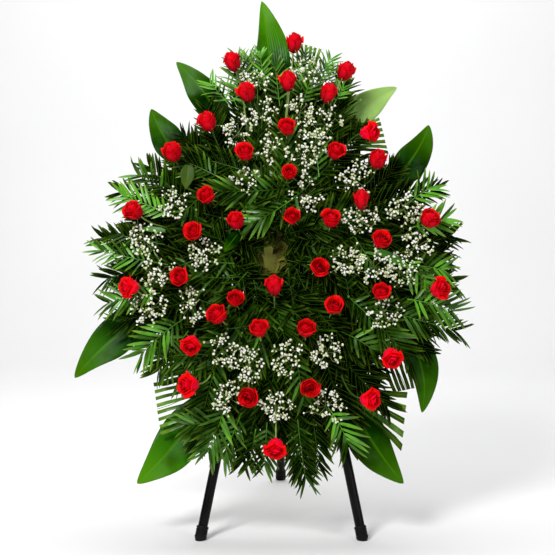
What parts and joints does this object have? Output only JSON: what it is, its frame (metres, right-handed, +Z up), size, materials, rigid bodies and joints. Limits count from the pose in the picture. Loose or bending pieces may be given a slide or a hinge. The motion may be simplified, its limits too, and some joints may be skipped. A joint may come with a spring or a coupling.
{
  "type": "funeral wreath on an easel",
  "caption": "Round funeral wreath of red roses, palm fronds, broad leaves and white filler flowers on a straw ring, tied to a folding three-legged easel.",
  "frame": {"origin": "on the floor, under the middle of the whole object's bounding box", "axes": "+Z up; the wreath faces -Y and leans back towards +Y; +X to the viewer's right"},
  "size_m": [1.0193, 0.8664, 1.4044],
  "materials": {
    "black_enamel": "satin black enamel",
    "black_rubber": "ribbed black rubber",
    "zinc": "zinc plated",
    "straw": "bound straw",
    "red_petal": "velvety red petal",
    "palm": "glossy dark green leaf",
    "aspidistra": "glossy mid green leaf",
    "gypsophila": "small creamy white florets"
  },
  "bodies": {
    "easel_and_wreath": {"aspidistra_leaf_1": "aspidistra", "aspidistra_leaf_2": "aspidistra", "aspidistra_leaf_3": "aspidistra", "aspidistra_leaf_4": "aspidistra", "aspidistra_leaf_5": "aspidistra", "aspidistra_leaf_6": "aspidistra", "aspidistra_leaf_7": "aspidistra", "aspidistra_leaf_8": "aspidistra", "aspidistra_leaf_9": "aspidistra", "cross_strap": "black_enamel", "foot_cap_left": "black_rubber", "foot_cap_right": "black_rubber", "front_leg_left": "black_enamel", "front_leg_right": "black_enamel", "gypsophila_spray_1": "gypsophila", "gypsophila_spray_2": "gypsophila", "gypsophila_spray_3": "gypsophila", "gypsophila_spray_4": "gypsophila", "gypsophila_spray_5": "gypsophila", "gypsophila_spray_6": "gypsophila", "gypsophila_spray_7": "gypsophila", "gypsophila_spray_8": "gypsophila", "head": "black_enamel", "hinge_pin": "zinc", "palm_bunch_01": "palm", "palm_bunch_02": "palm", "palm_bunch_03": "palm", "palm_bunch_04": "palm", "palm_bunch_05": "palm", "palm_bunch_06": "palm", "palm_bunch_07": "palm", "palm_bunch_08": "palm", "palm_bunch_09": "palm", "palm_bunch_10": "palm", "palm_bunch_11": "palm", "palm_bunch_12": "palm", "rose_bunch_01": "red_petal", "rose_bunch_02": "red_petal", "rose_bunch_03": "red_petal", "rose_bunch_04": "red_petal", "rose_bunch_05": "red_petal", "rose_bunch_06": "red_petal", "rose_bunch_07": "red_petal", "rose_bunch_08": "red_petal", "rose_bunch_09": "red_petal", "rose_bunch_10": "red_petal", "rose_bunch_11": "red_petal", "rose_bunch_12": "red_petal", "rose_bunch_13": "red_petal", "rose_bunch_14": "red_petal", "straw_ring": "straw", "trimmed_palm_1": "palm", "trimmed_palm_2": "palm", "trimmed_palm_3": "palm", "trimmed_palm_4": "palm", "trimmed_palm_5": "palm", "wire_tie_left": "zinc", "wire_tie_right": "zinc"},
    "rear_leg": {"rear_leg": "black_enamel", "foot_cap_rear": "black_rubber"}
  },
  "joints": [
    {"name": "rear_leg_fold", "type": "hinge", "parent": "easel_and_wreath", "child": "rear_leg", "pos_m": [0.0233, -0.05767, 0.94003], "axis": [1, 0, 0], "range_deg": [-36, 0]}
  ]
}
